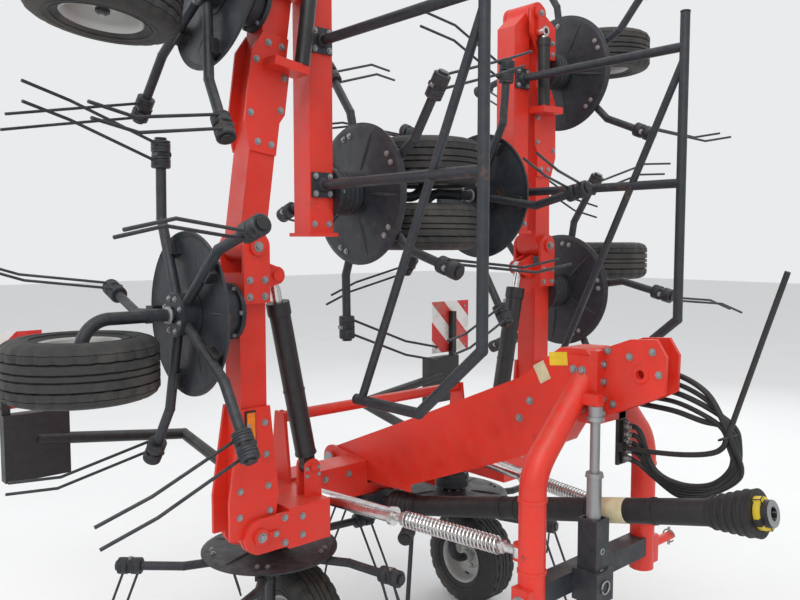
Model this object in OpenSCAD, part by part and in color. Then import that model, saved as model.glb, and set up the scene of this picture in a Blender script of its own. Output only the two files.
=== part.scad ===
// Mounted hay tedder with eight rotors, its wings folded up for the road.
// X runs across the machine, Y forward to the tractor, Z up from the floor.
// Wing sections are drawn level, as they work, and then folded up.

/* [Layout] */
// Distance between neighbouring rotor axes
rotor_pitch = 930; // [880:10:980]
// Half the distance between the two main wing hinges
hinge_x = 700; // [680:5:740]
// Length of an inner wing section, from main hinge to middle joint
sec_a_len = 890; // [860:5:940]
// Length of a middle wing section, from middle joint to outer pin
sec_b_len = 930; // [900:5:980]
// Length of an outer wing section from its pin
sec_c_len = 880; // [820:10:920]
// Height of the outer pin over the beam centres
pin_up = 66; // [64:1:74]
// Distance of the inner rotor pair behind the wing hinges
centre_back = 250; // [230:5:270]
// Distance of the whole machine's middle before the wing hinges
mid_y = 190; // [170:1:210]
// Inward lean of the folded right middle section, in degrees
lean_r = 8; // [4:1:9]
// Inward lean of the folded left middle section, in degrees
lean_l = 1; // [0.5:0.5:2]

/* [Beams] */
// Side of the square wing beams
beam_w = 90; // [80:5:100]
// Depth of the centre beam along Y
centre_w = 120; // [100:5:130]
// Height of the centre beam
centre_h = 130; // [110:5:140]
// Thickness of fork and gusset plates
plate = 12; // [8:1:15]
// Radius of the hinge pins
pin_r = 18; // [14:1:22]
// Radius of the knuckles and fork ends
knuckle_r = 45; // [40:1:48]

/* [Wheels] */
// Tyre diameter
tyre_d = 405; // [380:5:420]
// Tyre width
tyre_w = 165; // [140:5:180]
// Rim diameter
rim_d = 203; // [190:1:215]
// Height of the beam centres over the wheel axles
axle_drop = 500; // [490:2:510]
// Sideways distance of a wheel from its rotor axis
wheel_off = 125; // [120:1:140]
// Radius of the wheel leg tube
leg_r = 18; // [15:1:19]
// Bend radius of the wheel leg
leg_bend = 80; // [60:5:85]
// Radius of a wheel axle
axle_r = 12; // [10:1:14]

/* [Rotors] */
// Tine arms on each rotor
arms = 5; // [5:1:6]
// Radius of the rotor disc
disc_r = 240; // [220:5:250]
// Radius at which the tine holders sit
holder_r = 470; // [450:5:480]
// Radius of an arm tube
arm_r = 15; // [13:1:17]
// Depth of the arms below the beam centres
arm_z = 215; // [212:1:220]
// Radius of the tine wire
wire_r = 4.5; // [3.5:0.5:5.5]
// Length of the straight upper part of a tine
tine_up = 285; // [260:5:300]
// Length of the bent lower part of a tine
tine_low = 140; // [120:5:150]

/* [Headstock] */
// Half the distance between the headstock legs
stock_x = 280; // [260:5:300]
// Distance of the headstock legs before the wing hinges
stock_y = 790; // [760:5:820]
// Height of the lower link pins
lower_z = 620; // [600:5:660]
// Height of the top link hole over the lower link pins
mast_h = 624; // [600:2:650]
// Radius of the lower link pins
lower_pin_r = 14; // [11:0.5:18]
// Radius of the top link hole
top_hole_r = 12.75; // [9.75:0.25:16]
// Radius of the headstock tube
stock_r = 38; // [34:1:42]
// Width of the boom
boom_w = 120; // [100:5:130]

/* [Cylinders] */
// Radius of a wing cylinder's barrel
barrel_r = 34; // [28:1:38]
// Radius of a wing cylinder's rod
rod_r = 17; // [14:1:20]
// Radius of an outer cylinder's barrel
tip_barrel_r = 24; // [20:1:26]
// Radius of the outer fold crank
crank_r = 75; // [65:1:80]

/* [Lights] */
// Side of the square warning boards
board_w = 282; // [240:2:300]
// Sideways distance of the warning boards from the middle
board_x = 1150; // [1100:5:1200]
// Distance of the warning boards behind the wing hinges
board_y = 945; // [900:5:980]

/* [Hidden] */
$fn = 48;
hinge_z = axle_drop + tyre_d / 2;
rotor1_x = rotor_pitch / 2;
rotor2_x = 1.5 * rotor_pitch - hinge_x;
rotor3_x = 2.5 * rotor_pitch - hinge_x - sec_a_len;
rotor4_x = 3.5 * rotor_pitch - hinge_x - sec_a_len - sec_b_len;
half_w = beam_w / 2;
boom_half = boom_w / 2;
side_gap = 5;
pin_gap = 3;
pin_fit = 0.3;
seat = 0.3;
fork_in = half_w + plate + side_gap;
fork_out = fork_in + plate;
knuckle_l = 2 * (fork_in - pin_gap);
centre_low = hinge_z - centre_h / 2;
centre_top = hinge_z + centre_h / 2;
block_in = rotor1_x - 30;
block_out = hinge_x - knuckle_r - 60;
block_back = centre_back + centre_w / 2;
web_l = 80;

red = [0.85, 0.12, 0.05];
dark = [0.13, 0.15, 0.18];
black = [0.06, 0.06, 0.06];
silver = [0.75, 0.76, 0.78];

// General shapes

function unit(v) = v / norm(v);

// Turns the children's Z axis to the direction d
module turn_to(d) {
    rotate([0, acos(d[2] / norm(d)), atan2(d[1], d[0])]) children();
}

// Round bar from point a to point b
module bar(a, b, r) {
    translate(a) turn_to(b - a) cylinder(h = norm(b - a), r = r);
}

// Round tube through a list of points, with a slightly fuller ball at each bend
module pipe(pts, r) {
    for (i = [0:len(pts) - 2]) bar(pts[i], pts[i + 1], r);
    for (i = [1:len(pts) - 2]) translate(pts[i])
        turn_to(unit(pts[i] - pts[i - 1]) + unit(pts[i + 1] - pts[i])) sphere(r = 1.04 * r);
}

// Cylinder along Y, centred on y = 0
module y_cyl(r, l) {
    rotate([90, 0, 0]) cylinder(h = l, r = r, center = true);
}

// Cylinder along X from x0 to x1
module x_cyl(r, x0, x1) {
    translate([x0, 0, 0]) rotate([0, 90, 0]) cylinder(h = x1 - x0, r = r);
}

// Plate in the XZ plane between y0 and y1, from a 2D child drawn as [x, z]
module xz_plate(y0, y1) {
    translate([0, y1, 0]) rotate([90, 0, 0]) linear_extrude(height = y1 - y0) children();
}

// Plate in the YZ plane between x0 and x1, from a 2D child drawn as [y, z]
module yz_plate(x0, x1) {
    translate([x0, 0, 0]) rotate([90, 0, 90]) linear_extrude(height = x1 - x0) children();
}

// The children and their mirror image across y = 0
module both_y() {
    children();
    mirror([0, 1, 0]) children();
}

// The children and their mirror image across x = 0
module both_x() {
    children();
    mirror([1, 0, 0]) children();
}

// Frames of the folded machine: side is 1 on the right and -1 on the left

// Sets a piece drawn from the wing hinge line about the middle of the whole machine
module machine() {
    translate([0, -mid_y, 0]) children();
}

function lean(side) = side > 0 ? lean_r : lean_l;

module on_side(side) {
    if (side > 0) children();
    else mirror([1, 0, 0]) children();
}

module frame_1(side) {
    machine() on_side(side) translate([rotor1_x, -centre_back, hinge_z]) children();
}

module frame_a(side) {
    machine() on_side(side) translate([hinge_x, 0, hinge_z]) rotate([0, -90, 0]) children();
}

module frame_b(side) {
    frame_a(side) translate([sec_a_len, 0, 0]) rotate([0, -lean(side), 0]) children();
}

module frame_c(side) {
    frame_b(side)
        translate([sec_b_len, 0, pin_up])
            rotate([0, lean(side) - 180, 0])
                translate([0, 0, -pin_up]) children();
}

// Beam ends

// Knuckle at x = 0, level with the beam
module knuckle() {
    difference() {
        union() {
            y_cyl(knuckle_r, knuckle_l);
            translate([0, -half_w, -half_w]) cube([web_l, beam_w, beam_w]);
        }
        y_cyl(pin_r + pin_fit, 2 * knuckle_l);
    }
}

// Fork on a beam end at x = 0, with its pin or bore at height up
module fork(up, with_pin) {
    block_l = 90;
    translate([-web_l - block_l, -fork_out, -half_w]) cube([block_l, 2 * fork_out, beam_w]);
    difference() {
        both_y() xz_plate(fork_in, fork_out) {
            translate([0, up]) circle(r = knuckle_r);
            polygon([
                [-web_l - block_l, -half_w], [-web_l - block_l, half_w], [-web_l, up + knuckle_r],
                [0, up + knuckle_r], [0, up - knuckle_r], [-web_l / 2, -half_w]
            ]);
        }
        if (!with_pin) translate([0, 0, up]) y_cyl(pin_r + pin_fit, 4 * fork_out);
    }
    if (with_pin) {
        translate([0, 0, up]) y_cyl(pin_r, 2 * fork_out + 20);
        both_y() translate([0, fork_out + 5, up]) y_cyl(pin_r + 8, 10);
    }
}

// Centre frame

cyl_base = [470, hinge_z + 165];
cyl_lug = [800, 100];
lug_in = 16;
lug_out = 28;
lug_r = 28;
cyl_pin_r = 12;
tie_z = hinge_z + 290;
tie_y = 200;
tie_r = 20;
boom_pin_y = 400;
boom_pin_z = hinge_z + 31;
boom_pin_r = 25;
cheek_in = boom_half + 1;
cheek_out = cheek_in + plate;
stab_x = 400;
stab_y = 160;
stab_z = hinge_z + 30;
stab_eye_r = 20;
stab_pin_r = 10;
stab_in = 16;

module centre_beam() {
    color(red) {
        both_x() {
            translate([cheek_in, -block_back, centre_low])
                cube([block_in - cheek_in, centre_w, centre_h]);
            translate([block_in, -block_back, centre_low])
                cube([block_out - block_in, block_back + fork_out, centre_h]);
            translate([hinge_x, 0, hinge_z]) {
                both_y() xz_plate(fork_in, fork_out) {
                    circle(r = knuckle_r + 10);
                    translate([block_out - hinge_x - 1, -knuckle_r - 10])
                        square([hinge_x - block_out + 1, 2 * knuckle_r + 20]);
                }
                y_cyl(pin_r, 2 * fork_out + 20);
                both_y() translate([0, fork_out + 5, 0]) y_cyl(pin_r + 8, 10);
            }
            cylinder_bracket();
            yz_plate(cheek_in, cheek_out) {
                translate([-boom_pin_y, boom_pin_z]) circle(r = boom_pin_r + 30);
                polygon([
                    [-boom_pin_y, boom_pin_z - boom_pin_r - 30], [-boom_pin_y, boom_pin_z + boom_pin_r + 30],
                    [centre_w / 2 - centre_back, centre_top], [centre_w / 2 - centre_back, centre_low],
                    [-block_back, centre_low]
                ]);
            }
            stab_lug();
        }
        translate([-cheek_out, -block_back, centre_low]) cube([2 * cheek_out, centre_w, 40]);
        translate([0, -boom_pin_y, boom_pin_z]) x_cyl(boom_pin_r, -cheek_out - 12, cheek_out + 12);
        tie_frame();
    }
}

// Lug plates and pin that carry the foot of a wing cylinder
module cylinder_bracket() {
    both_y() xz_plate(lug_in, lug_out) {
        translate(cyl_base) circle(r = lug_r);
        polygon([
            [block_in, centre_top - 5], [cyl_base[0] + lug_r, centre_top - 5],
            [cyl_base[0] + lug_r, cyl_base[1]], [cyl_base[0] - lug_r, cyl_base[1]]
        ]);
    }
    translate([cyl_base[0], 0, cyl_base[1]]) y_cyl(cyl_pin_r, 2 * lug_out + 16);
}

// Tie tube over the boom's sides, on two uprights
module tie_frame() {
    both_x() yz_plate(block_in + 5, block_in + 5 + plate) polygon([
        [-tie_y - 60, centre_top - 5], [-tie_y + 60, centre_top - 5],
        [-tie_y + tie_r + 8, tie_z + tie_r], [-tie_y - tie_r - 8, tie_z + tie_r]
    ]);
    translate([0, -tie_y, tie_z]) x_cyl(tie_r, -block_in - 10, block_in + 10);
}

// Two flat ears and a pin for a stabilizer's rear eye
module stab_lug() {
    front = centre_w / 2 - centre_back;
    for (z = [stab_in, -stab_in - 8]) translate([stab_x, 0, stab_z + z]) linear_extrude(height = 8) {
        translate([0, -stab_y]) circle(r = stab_eye_r);
        translate([-stab_eye_r, front - 1]) square([2 * stab_eye_r, -stab_y - front + 1]);
    }
    translate([stab_x, -stab_y, stab_z - stab_in - 12]) cylinder(h = 2 * stab_in + 24, r = stab_pin_r);
}

// Headstock and boom

head_y = stock_y + stock_r;
head_low = 1090;
head_top = 1300;
head_plate = 22;
head_side = 14;
top_z = lower_z + mast_h;
top_y = 965;
mast_in = 27;
mast_out = mast_in + plate;

module boom() {
    color(red) difference() {
        yz_plate(-boom_half, boom_half) {
            translate([-boom_pin_y, boom_pin_z]) circle(r = 48);
            polygon([
                [-boom_pin_y, boom_pin_z - 48], [-25, boom_pin_z - 40], [558, 934], [690, 1000],
                [745, head_low], [head_y, head_low], [head_y, head_top - 30], [head_y - 30, head_top],
                [710, head_top - 4], [557, 1187], [101, 990], [-boom_pin_y, boom_pin_z + 48]
            ]);
        }
        translate([0, -boom_pin_y, boom_pin_z])
            x_cyl(boom_pin_r + pin_fit, -boom_w, boom_w);
    }
}

stock_bend = 150;
stock_slope = 45;
stock_knee = 980;
stock_foot = lower_z - 60;

// Right half of the bent headstock tube, cut flush with the boom's side
module stock_leg() {
    cut = stock_bend * tan(stock_slope / 2);
    difference() {
        translate([stock_x, stock_y, 0]) {
            translate([0, 0, stock_foot]) cylinder(h = stock_knee - cut - stock_foot, r = stock_r);
            translate([-stock_bend, 0, stock_knee - cut])
                rotate([90, 0, 0]) rotate_extrude(angle = stock_slope)
                    translate([stock_bend, 0]) circle(r = stock_r);
            translate([-cut * sin(stock_slope), 0, stock_knee + cut * cos(stock_slope)])
                rotate([0, -stock_slope, 0]) translate([0, 0, -5]) cylinder(h = 320, r = stock_r - 0.5);
        }
        translate([-stock_x, 0, 0]) cube([stock_x + boom_half, 2 * stock_y, 2 * head_top]);
    }
}

module headstock() {
    color(red) {
        difference() {
            union() {
                both_x() {
                    stock_leg();
                    translate([boom_half, stock_y - stock_r, head_low])
                        cube([head_side, 2 * stock_r + head_plate - 4, head_top - head_low - 20]);
                    lower_link_pin();
                    stock_stab_lug();
                }
                translate([-boom_half - head_side, head_y, head_low])
                    cube([boom_w + 2 * head_side, head_plate, head_top - head_low]);
                both_x() yz_plate(mast_in, mast_out) polygon([
                    [head_y + 5, head_low + 10], [head_y + 5, head_top], [930, 1338], [1010, 1345],
                    [1040, 1300], [1038, 1200], [1000, 1178]
                ]);
                strut_lug();
            }
            translate([0, top_y, top_z]) x_cyl(top_hole_r, -2 * mast_out, 2 * mast_out);
        }
    }
}

pin_shoulder = stock_x + stock_r + 12;
pin_tip = 462;

// Lower link pin with its shoulder plate, on the outside of a leg
module lower_link_pin() {
    difference() {
        translate([stock_x + stock_r - 12, stock_y - 30, lower_z - 45]) cube([24, 60, 90]);
        translate([stock_x, stock_y, 0]) cylinder(h = lower_z, r = stock_r - 5);
    }
    translate([0, stock_y, lower_z]) x_cyl(lower_pin_r, pin_shoulder - 5, pin_tip);
}

front_stab_x = stock_x - 30;
front_stab_y = stock_y - stock_r - 28;

// Two flat ears and a pin for a stabilizer's front eye
module stock_stab_lug() {
    for (z = [stab_in, -stab_in - 8]) translate([front_stab_x, 0, stab_z + z]) linear_extrude(height = 8) {
        translate([0, front_stab_y]) circle(r = stab_eye_r);
        translate([-stab_eye_r, front_stab_y]) square([2 * stab_eye_r, 50]);
    }
    translate([front_stab_x, front_stab_y, stab_z - stab_in - 12])
        cylinder(h = 2 * stab_in + 24, r = stab_pin_r);
}

// Stabilizers between centre beam and headstock: barrel behind, rod in front
module stabilizers() {
    color(silver) both_x() {
        a = [stab_x, -stab_y, stab_z];
        b = [front_stab_x, front_stab_y, stab_z];
        u = unit(b - a);
        difference() {
            union() {
                bar(a + 15 * u, a + 40 * u, stab_in - 2);
                bar(a + (stab_eye_r + 8) * u, a + 430 * u, 24);
                bar(a + 400 * u, b - 15 * u, 13);
                for (p = [a, b]) translate(p - [0, 0, stab_in - 1]) cylinder(h = 2 * stab_in - 2, r = stab_eye_r);
            }
            for (p = [a, b]) translate(p - [0, 0, 60]) cylinder(h = 120, r = stab_pin_r + pin_fit);
        }
    }
}

// Cross tube between the legs, with the stand's guide and the shaft rest
bar_w = 60;
stand_x = 95;
stand_w = 62;
stand_bore = 50;
stand_y = stock_y + bar_w / 2 + 10 + stand_w / 2;
guide_w = stand_w + 20;

module crossbar() {
    color(dark) {
        difference() {
            translate([-stock_x, stock_y - bar_w / 2, lower_z - bar_w / 2 + 20]) cube([2 * stock_x, bar_w, bar_w]);
            both_x() translate([stock_x, stock_y, 0]) cylinder(h = 2 * lower_z, r = stock_r + seat);
        }
        difference() {
            translate([stand_x - guide_w / 2, stand_y - guide_w / 2, lower_z - 25]) cube([guide_w, guide_w, 90]);
            translate([stand_x - stand_w / 2 - seat, stand_y - stand_w / 2 - seat, 0])
                cube([stand_w + 2 * seat, stand_w + 2 * seat, 2 * lower_z]);
        }
        rest_top = shaft_z(stock_y) - shaft_r / cos(shaft_tilt) - seat - 3;
        translate([-8, stock_y - 12, lower_z]) cube([16, 24, rest_top - lower_z]);
    }
}

// Telescopic parking stand: silver strut above, square leg below
strut_top = 1150;
leg_stroke = 250;
leg_top = head_low - leg_stroke - 10;
strut_r = 14;
sleeve_r = 21;

module strut_lug() {
    translate([stand_x - 14, stock_y, strut_top]) cube([28, stand_y - stock_y + 18, 30]);
}

module stand_strut() {
    color(silver) translate([stand_x, stand_y, 0]) {
        translate([0, 0, 950]) cylinder(h = strut_top - 950 - seat, r = strut_r);
        translate([0, 0, 700]) cylinder(h = 255, r = sleeve_r);
        translate([0, 0, strut_top - 40]) cylinder(h = 40 - seat, r = strut_r + 6);
    }
}

module stand_leg() {
    color(dark) translate([stand_x, stand_y, 0]) {
        cylinder(h = 10, r = 70);
        difference() {
            translate([-stand_w / 2, -stand_w / 2, 5]) cube([stand_w, stand_w, leg_top - 5]);
            translate([-stand_bore / 2, -stand_bore / 2, 400]) cube([stand_bore, stand_bore, leg_top]);
        }
    }
}

// Drive line

gear_z = hinge_z - 102.5;
gear_low = gear_z - 54;
gear_half = 80;
gear_back = -330;
gear_front = -160;
shaft_y0 = -100;
shaft_y1 = 1316;
shaft_z1 = 938;
shaft_r = 36;
shaft_tilt = atan2(shaft_z1 - gear_z, shaft_y1 - shaft_y0);
shaft_l = norm([shaft_y1 - shaft_y0, shaft_z1 - gear_z]);
yoke_r = 17.5;
function shaft_z(y) = gear_z + (y - shaft_y0) * tan(shaft_tilt);

module input_gearbox() {
    color(dark) {
        translate([-gear_half, gear_back, gear_low])
            cube([2 * gear_half, gear_front - gear_back, centre_low - gear_low]);
        translate([0, gear_front + 5, gear_z]) rotate([90, 0, 0]) cylinder(h = 20, r = 50);
        translate([0, shaft_y0, gear_z]) rotate([90, 0, 0]) cylinder(h = -gear_front + shaft_y0, r = 22);
        both_x() translate([0, -centre_back, gear_z]) x_cyl(30, gear_half - 5, gear_half + 30);
    }
}

module drive_shaft() {
    color(black) translate([0, shaft_y0 + seat, gear_z]) rotate([shaft_tilt - 90, 0, 0]) difference() {
        union() {
            translate([0, 0, 14]) cylinder(h = 130, r1 = 55, r2 = shaft_r + 3);
            translate([0, 0, 8]) cylinder(h = 20, r = 40);
            translate([0, 0, 120]) cylinder(h = shaft_l - 270, r = shaft_r);
            translate([0, 0, shaft_l - 165]) cylinder(h = 130, r1 = shaft_r + 3, r2 = 62);
            translate([0, 0, shaft_l - 60]) cylinder(h = 60, r = 34);
        }
        translate([0, 0, shaft_l - 70]) cylinder(h = 100, r = yoke_r);
    }
}

// Rotor units, drawn about their rotor axis with z = 0 at the beam centre

box_low = 152;
box_r = 72;
neck_r = 38;
rotor_top = 168;
hub_r = 62;
hub_low = 238;
hub_bore = leg_r + 5;
leg_knee = axle_drop - leg_bend;
hub_half = 40;

// Gearbox under a beam whose underside is at depth top, with its wheel leg
module rotor_unit(top, dir) {
    color(dark) on_side(dir) {
        translate([0, 0, -box_low]) cylinder(h = box_low - top, r = box_r);
        translate([0, 0, -top - 14]) cylinder(h = 14, r = box_r + 14);
        translate([0, 0, -box_low - 12]) cylinder(h = 14, r1 = neck_r, r2 = box_r - 6);
        translate([0, 0, -leg_knee]) cylinder(h = leg_knee - box_low + 20, r = leg_r);
        translate([leg_bend, 0, -leg_knee]) rotate([90, 180, 0]) rotate_extrude(angle = 90)
            translate([leg_bend, 0]) circle(r = leg_r);
        translate([0, 0, -axle_drop]) {
            x_cyl(axle_r, leg_bend - 2, wheel_off + hub_half + 12);
            x_cyl(axle_r + 7, wheel_off + hub_half + side_gap, wheel_off + hub_half + 14);
        }
    }
}

// Arms leave the hub square and trail back at their outer end
arm_kink_r = 300;
arm_trail = 70;
clamp_r0 = 180;
clamp_r1 = 220;
clamp_w = 44;
disc_mid = rotor_top + 14;
coil_r = 28;
coil_valley_r = 24;
coil_l = 36;
coil_in = -38;
coil_out = 8;

// Scalloped coil spring along +x from x = 0
module coil() {
    turns = 4;
    p = coil_l / turns;
    rotate([0, 90, 0]) rotate_extrude() polygon(concat(
        [[arm_r - 2, 0]],
        [for (i = [0:turns - 1]) each [
            [coil_valley_r, i * p], [coil_r, i * p + 0.3 * p], [coil_r, i * p + 0.7 * p]]],
        [[coil_valley_r, coil_l], [arm_r - 2, coil_l]]
    ));
}

// One tine wire from the coil, straight down and out, then bent back
module tine(x, dir) {
    a = [x, -dir * (coil_valley_r - wire_r - 0.5), 0];
    b = a + tine_up * [0.36, 0, -0.933];
    c = b + tine_low * [0.22, -dir * 0.26, -0.94];
    pipe([a, b, c], wire_r);
}

module rotor(dir, phase) {
    color(dark) difference() {
        union() {
            translate([0, 0, -hub_low]) cylinder(h = hub_low - rotor_top, r = hub_r);
            rotate_extrude() polygon([
                [hub_r - 5, -rotor_top - 4], [disc_r - 14, -rotor_top - 12], [disc_r, -rotor_top - 19],
                [disc_r, -rotor_top - 25], [disc_r - 17, -rotor_top - 18], [hub_r - 5, -rotor_top - 12]
            ]);
            for (i = [0:arms - 1]) rotate([0, 0, phase + i * 360 / arms]) {
                knee = [arm_kink_r, 0, -arm_z];
                tip = [holder_r, -dir * arm_trail, -arm_z];
                bend = atan2(-dir * arm_trail, holder_r - arm_kink_r);
                u = unit(tip - knee);
                pipe([[hub_r - 10, 0, -arm_z], knee, tip + (coil_out + coil_l + 6) * u], arm_r);
                translate([clamp_r0, -clamp_w / 2, -arm_z + 4])
                    cube([clamp_r1 - clamp_r0, clamp_w, arm_z - 4 - disc_mid]);
                translate(tip) rotate([0, 0, bend]) {
                    for (x = [coil_in, coil_out]) translate([x, 0, 0]) coil();
                    tine(coil_in + 10, dir);
                    tine(coil_out + 16, dir);
                }
            }
        }
        translate([0, 0, -2 * hub_low]) cylinder(h = 2 * hub_low, r = hub_bore);
    }
}

// Tyre on its rim, about the x axis
module wheel() {
    rim_r = rim_d / 2;
    tyre_r = tyre_d / 2;
    h = tyre_w / 2;
    color(black) rotate([0, 90, 0]) rotate_extrude() {
        polygon([
            [rim_r - 6, -0.72 * h], [rim_r + 6, -0.8 * h], [rim_r + 30, -h], [tyre_r - 38, -h],
            [tyre_r - 12, -0.88 * h], [tyre_r, -0.62 * h], [tyre_r, 0.62 * h],
            [tyre_r - 12, 0.88 * h], [tyre_r - 38, h], [rim_r + 30, h], [rim_r + 6, 0.8 * h],
            [rim_r - 6, 0.72 * h]
        ]);
        translate([rim_r - 12, -0.76 * h]) square([8, 1.52 * h]);
        translate([axle_r + 6, -8]) square([rim_r - axle_r - 12, 14]);
        translate([axle_r + pin_fit, -hub_half]) square([20, 2 * hub_half]);
    }
}

module wheel_at(dir) {
    translate([dir * wheel_off, 0, -axle_drop]) wheel();
}

// Wing sections, drawn level from their inner pin along +x

gusset_l = 400;

// Cover plate over a gearbox on a beam, waisted towards both ends
module gear_plate(x) {
    both_y() xz_plate(half_w, half_w + plate - 4) polygon([
        [x - 190, -half_w], [x - 190, half_w], [x - 90, half_w], [x - 60, half_w + 16],
        [x + 60, half_w + 16], [x + 90, half_w], [x + 170, half_w], [x + 170, -half_w],
        [x + 110, -half_w - 30], [x - 110, -half_w - 30]
    ]);
}

module section_a() {
    color(red) {
        difference() {
            union() {
                knuckle();
                both_y() xz_plate(half_w, half_w + plate) {
                    circle(r = knuckle_r + 12);
                    polygon([
                        [0, -95], [120, -95], [gusset_l, -half_w - 5], [gusset_l, half_w + 5],
                        [120, 78], [0, knuckle_r + 12]
                    ]);
                }
            }
            y_cyl(pin_r + pin_fit, 2 * knuckle_l);
        }
        translate([web_l - 1, -half_w, -half_w]) cube([sec_a_len - 2 * web_l - 20, beam_w, beam_w]);
        translate([sec_a_len, 0, 0]) fork(0, true);
        both_y() xz_plate(lug_in, lug_in + plate) {
            translate(cyl_lug) circle(r = lug_r);
            polygon([
                [cyl_lug[0] - 50, half_w - 5], [cyl_lug[0] + 50, half_w - 5],
                [cyl_lug[0] + lug_r, cyl_lug[1]], [cyl_lug[0] - lug_r, cyl_lug[1]]
            ]);
        }
        both_y() translate([cyl_lug[0], lug_in + plate + 3, cyl_lug[1]]) y_cyl(cyl_pin_r + 5, 8);
    }
}

module section_b() {
    color(red) {
        knuckle();
        translate([web_l - 1, -half_w, -half_w]) cube([sec_b_len - 2 * web_l - 20, beam_w, beam_w]);
        translate([sec_b_len, 0, 0]) fork(pin_up, false);
        gear_plate(rotor3_x - 260);
        tip_bracket();
    }
}

// Outer cylinder beside the middle beam, and the crank that it turns
tip_y = fork_out + tip_barrel_r + 4;
crank_y0 = fork_out + 3;
crank_y1 = tip_y - 12;
tip_eye_r = 20;
tip_rod_r = 10;
function tip_z(side) = pin_up + crank_r * sin(lean(side) / 2);
function tip_x(side) = sec_b_len - crank_r * cos(lean(side) / 2);
tip_end = sec_b_len - crank_r - 28;
tip_start = tip_end - 260;

module tip_bracket() {
    translate([tip_start - 30, half_w - 5, -half_w + 10])
        cube([26, tip_y + tip_barrel_r - half_w, pin_up + half_w + 12]);
}

module tip_barrel(side) {
    color(black) difference() {
        translate([0, tip_y, tip_z(side)]) {
            x_cyl(tip_barrel_r, tip_start - 4 + seat, tip_end);
            x_cyl(tip_barrel_r + 3, tip_end - 30, tip_end);
        }
        translate([0, tip_y, tip_z(side)]) x_cyl(tip_rod_r + pin_fit, tip_start + 30, tip_end + 10);
    }
}

module tip_rod(side) {
    color(silver) translate([0, tip_y, tip_z(side)]) {
        x_cyl(tip_rod_r, tip_start + 40, tip_x(side) - 12);
        difference() {
            translate([tip_x(side), 0, 0]) y_cyl(tip_eye_r, 2 * (tip_y - crank_y1 - seat));
            translate([tip_x(side), 0, 0]) y_cyl(11, 60);
        }
    }
}

module section_c(side) {
    color(red) {
        translate([0, 0, pin_up]) y_cyl(knuckle_r, knuckle_l);
        xz_plate(-half_w, half_w) polygon([
            [0, pin_up - knuckle_r], [0, pin_up + knuckle_r], [25, pin_up + knuckle_r],
            [105, half_w], [170, half_w], [170, -half_w], [60, -half_w]
        ]);
        translate([165, -half_w, -half_w]) cube([sec_c_len - 165, beam_w, beam_w]);
        translate([sec_c_len - 12, -half_w - 12, -half_w - 12]) cube([12, beam_w + 24, beam_w + 24]);
        translate([0, (crank_y1 - 1 - fork_out) / 2, pin_up]) y_cyl(pin_r, fork_out + crank_y1 - 1);
        xz_plate(crank_y0, crank_y1) {
            translate([0, pin_up]) circle(r = pin_r + 10);
            translate([0, pin_up]) rotate(lean(side) / 2) {
                translate([crank_r, 0]) circle(r = tip_eye_r);
                translate([0, -16]) square([crank_r, 32]);
            }
        }
    }
}

// Guard tubes before the outer rotor
guard_y = 745;
guard_r = 16;
guard_in = 150;
guard_end = 1385;

module guard() {
    color(dark) {
        pipe([
            [guard_in, guard_y, 0], [1180, guard_y, 0],
            [guard_end, guard_y - 240, 0], [guard_end, guard_y - 520, 0]
        ], guard_r);
        bar([guard_in + 150, guard_y, 0], [guard_end, guard_y - 500, 0], guard_r - 3);
        for (x = [261, 715]) {
            bar([x, half_w + 6, 0], [x, guard_y, 0], guard_r);
            translate([x - 40, half_w + seat, -40]) cube([80, 8, 80]);
        }
    }
}

// Wing cylinders

fold_a = [hinge_x - cyl_lug[1] - cyl_base[0], hinge_z + cyl_lug[0] - cyl_base[1]];
fold_l = norm(fold_a);
fold_tilt = atan2(fold_a[0], fold_a[1]);
barrel_l = fold_l - 110;
eye_gap = lug_r + 12;
neck_w = 44;

module fold_frame(side) {
    machine() on_side(side) translate([cyl_base[0], 0, cyl_base[1]]) rotate([0, fold_tilt, 0]) children();
}

module fold_barrel() {
    color(black) difference() {
        union() {
            y_cyl(lug_r - 2, 2 * (lug_in - 1));
            translate([-neck_w / 2, 1 - lug_in, 0]) cube([neck_w, 2 * (lug_in - 1), eye_gap + 5]);
            translate([0, 0, eye_gap]) cylinder(h = barrel_l + 22 - eye_gap, r = barrel_r);
            translate([0, 0, 22 + barrel_l - 40]) cylinder(h = 40, r = barrel_r + 4);
        }
        y_cyl(cyl_pin_r + pin_fit, 100);
        translate([0, 0, 60]) cylinder(h = fold_l, r = rod_r + pin_fit);
    }
}

module fold_rod() {
    color(silver) {
        translate([0, 0, 70]) cylinder(h = fold_l - 70 - eye_gap, r = rod_r);
        translate([0, 0, fold_l - eye_gap - 5]) cylinder(h = eye_gap - 15, r = lug_in - 2);
        difference() {
            translate([0, 0, fold_l]) y_cyl(lug_r - 3, 2 * (lug_in - seat));
            translate([0, 0, fold_l]) y_cyl(cyl_pin_r + pin_fit, 100);
        }
    }
}

// Lights and warning boards

arm_tube_r = 22;
lamp_z0 = 740;
lamp_z1 = 985;

module light_arms() {
    color(black) both_x() {
        pipe([
            [rotor1_x, -block_back - 8, hinge_z], [rotor1_x + 10, -board_y + 60, hinge_z + 110],
            [board_x - 100, -board_y + 45, lamp_z1 - 100]
        ], arm_tube_r);
        translate([rotor1_x - 45, -block_back - seat - 10, hinge_z - 50]) cube([90, 10, 100]);
        translate([board_x - 215, -board_y + 8, lamp_z0]) cube([230, 50, lamp_z1 - lamp_z0]);
        translate([board_x - 15, -board_y + 8, lamp_z1 - 200]) cube([30, 30, board_w + 160]);
    }
}

module warning_boards() {
    color([0.9, 0.9, 0.9]) both_x()
        translate([board_x - board_w / 2, -board_y + 4, lamp_z1 + 15]) cube([board_w, 4 - seat, board_w]);
}

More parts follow.
